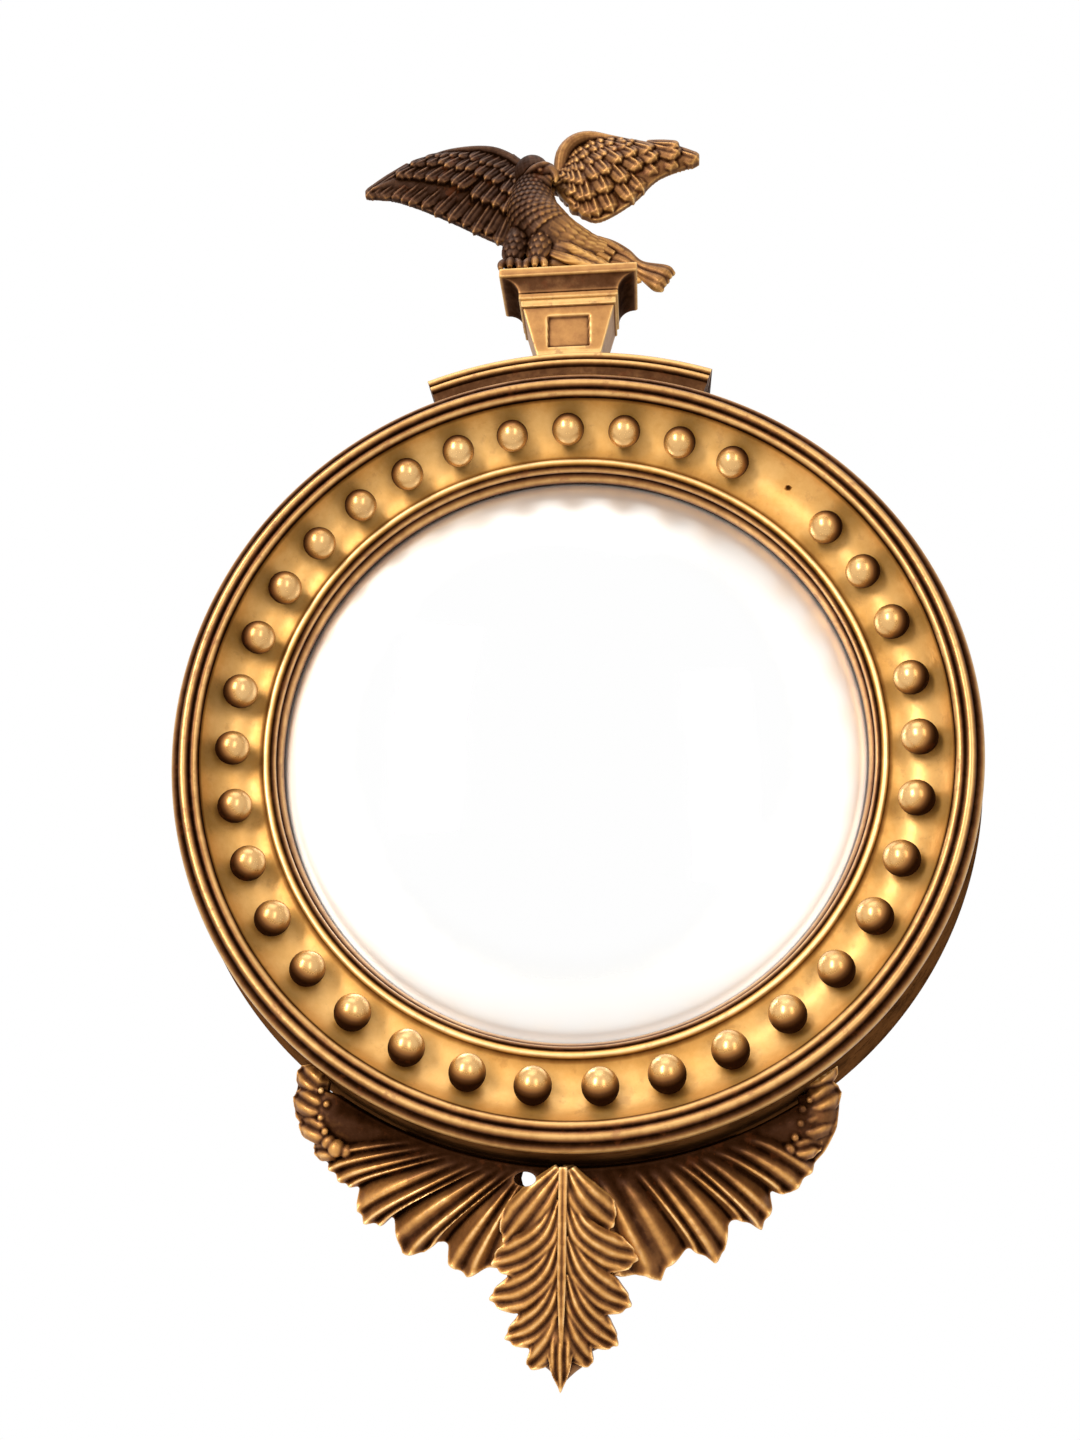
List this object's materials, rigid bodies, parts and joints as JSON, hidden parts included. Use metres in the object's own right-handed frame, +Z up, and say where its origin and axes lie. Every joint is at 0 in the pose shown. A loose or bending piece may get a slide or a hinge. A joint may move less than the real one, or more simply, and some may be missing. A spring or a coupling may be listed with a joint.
{
  "type": "girandole mirror",
  "caption": "Round convex wall mirror in a carved gilt wood frame, gilt balls in the cove, an eagle on a plinth above and an acanthus leaf apron below.",
  "frame": {"origin": "centre of the round back, on the wall plane and on the axis of the ring", "axes": "+X to the viewer's right along the wall, +Y into the wall, +Z up"},
  "size_m": [0.64, 0.0738, 1.0404],
  "materials": {
    "gilt": "water gilding over ochre bole, softly burnished",
    "gilt_worn": "gilding toned and rubbed, satin",
    "gilt_dark": "gilding darkened to brown with age, satin",
    "ochre_wood": "pine washed with ochre, matt",
    "bare_wood": "bare pine, aged, matt",
    "silvered_glass": "silvered convex plate glass, polished",
    "iron": "dull iron screws",
    "brass": "worn brass"
  },
  "bodies": {
    "frame": {"carcass_ring": "ochre_wood", "cove_moulding": "gilt", "reeded_rim": "gilt", "reeded_slip": "gilt_worn", "mirror_glass": "silvered_glass", "glass_packing_ring": "bare_wood", "backboard": "bare_wood", "backboard_screw_1": "iron", "backboard_screw_2": "iron", "backboard_screw_3": "iron", "backboard_screw_4": "iron", "ball_01": "gilt_worn", "ball_02": "gilt_worn", "ball_03": "gilt_worn", "ball_04": "gilt_worn", "ball_06": "gilt_worn", "ball_07": "gilt_worn", "ball_08": "gilt_worn", "ball_09": "gilt_worn", "ball_10": "gilt_worn", "ball_11": "gilt_worn", "ball_12": "gilt_worn", "ball_13": "gilt_worn", "ball_14": "gilt_worn", "ball_15": "gilt_worn", "ball_16": "gilt_worn", "ball_17": "gilt_worn", "ball_18": "gilt_worn", "ball_19": "gilt_worn", "ball_20": "gilt_worn", "ball_21": "gilt_worn", "ball_22": "gilt_worn", "ball_23": "gilt_worn", "ball_24": "gilt_worn", "ball_25": "gilt_worn", "ball_26": "gilt_worn", "ball_27": "gilt_worn", "ball_28": "gilt_worn", "ball_29": "gilt_worn", "ball_30": "gilt_worn", "ball_31": "gilt_worn", "ball_32": "gilt_worn", "ball_33": "gilt_worn", "ball_34": "gilt_worn", "ball_35": "gilt_worn", "crest_arch": "gilt", "plinth_body": "gilt", "plinth_cap": "gilt", "eagle_body": "gilt_dark", "eagle_wing_left": "gilt_dark", "eagle_wing_right": "gilt_worn", "eagle_tail": "gilt_worn", "apron_block": "ochre_wood", "leaf_left": "gilt", "leaf_right": "gilt", "leaf_centre": "gilt", "hanger_plate": "brass", "hanger_screw_1": "iron", "hanger_screw_2": "iron"},
    "hanging_ring": {"hanger_ring": "brass"}
  },
  "joints": [
    {"name": "hanger_ring_hinge", "type": "hinge", "parent": "frame", "child": "hanging_ring", "pos_m": [0, -0.0052, 0.285], "axis": [1, 0, 0], "range_deg": [0, 178]}
  ]
}
